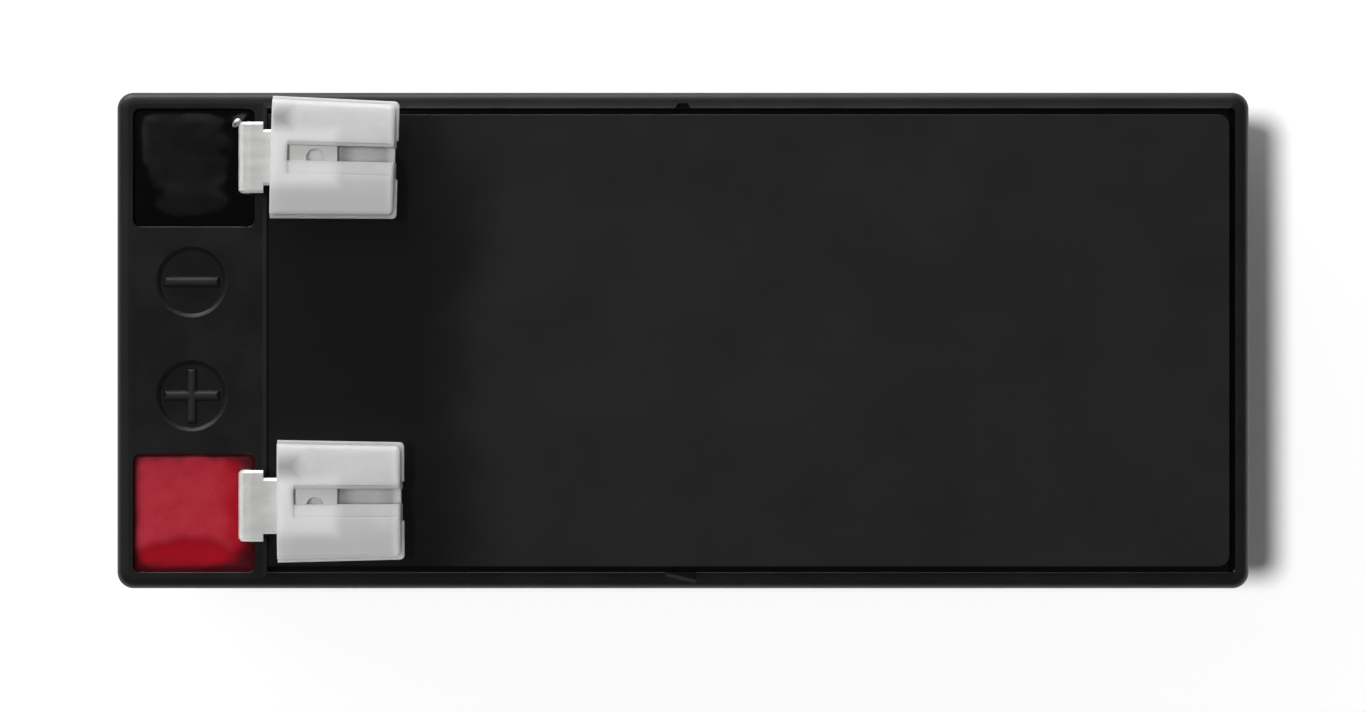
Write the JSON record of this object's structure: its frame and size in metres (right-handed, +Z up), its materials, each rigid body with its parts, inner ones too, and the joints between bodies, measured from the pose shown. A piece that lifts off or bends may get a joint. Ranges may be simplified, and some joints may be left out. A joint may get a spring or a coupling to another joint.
{
  "type": "sealed lead-acid battery",
  "caption": "Small sealed lead-acid battery in a black moulded case, with epoxy-sealed blade terminals at one end and translucent push-on covers on the tabs.",
  "frame": {"origin": "middle of the base, on the surface that the battery stands on", "axes": "+X along the case, away from the terminal end; +Y across it, towards the negative terminal; +Z up"},
  "size_m": [0.097, 0.0426, 0.059],
  "materials": {
    "black_abs": "moulded black ABS, fine satin texture",
    "tinned_brass": "stamped brass strip with a matt tin plating",
    "black_epoxy": "poured black casting epoxy",
    "red_epoxy": "poured red casting epoxy",
    "clear_polyethylene": "soft translucent polyethylene",
    "valve_rubber": "moulded synthetic rubber",
    "cast_lead": "dull cast lead alloy",
    "positive_paste": "dark brown pasted lead grid",
    "negative_paste": "grey pasted lead grid",
    "glass_mat": "white absorbed glass mat"
  },
  "bodies": {
    "root": {"container": "black_abs", "lid": "black_abs", "vent_cover": "black_abs", "negative_terminal": "tinned_brass", "positive_terminal": "tinned_brass", "negative_seal": "black_epoxy", "positive_seal": "red_epoxy", "negative_tab_cover": "clear_polyethylene", "positive_tab_cover": "clear_polyethylene", "positive_end_strap": "cast_lead", "negative_end_strap": "cast_lead", "vent_valve_1": "valve_rubber", "cell_1_positive_plates": "positive_paste", "cell_1_negative_plates": "negative_paste", "cell_1_separators": "glass_mat", "vent_valve_2": "valve_rubber", "cell_2_positive_plates": "positive_paste", "cell_2_negative_plates": "negative_paste", "cell_2_separators": "glass_mat", "vent_valve_3": "valve_rubber", "cell_3_positive_plates": "positive_paste", "cell_3_negative_plates": "negative_paste", "cell_3_separators": "glass_mat", "vent_valve_4": "valve_rubber", "cell_4_positive_plates": "positive_paste", "cell_4_negative_plates": "negative_paste", "cell_4_separators": "glass_mat", "vent_valve_5": "valve_rubber", "cell_5_positive_plates": "positive_paste", "cell_5_negative_plates": "negative_paste", "cell_5_separators": "glass_mat", "vent_valve_6": "valve_rubber", "cell_6_positive_plates": "positive_paste", "cell_6_negative_plates": "negative_paste", "cell_6_separators": "glass_mat", "intercell_link_1": "cast_lead", "intercell_link_2": "cast_lead", "intercell_link_3": "cast_lead", "intercell_link_4": "cast_lead", "intercell_link_5": "cast_lead"}
  },
  "joints": []
}
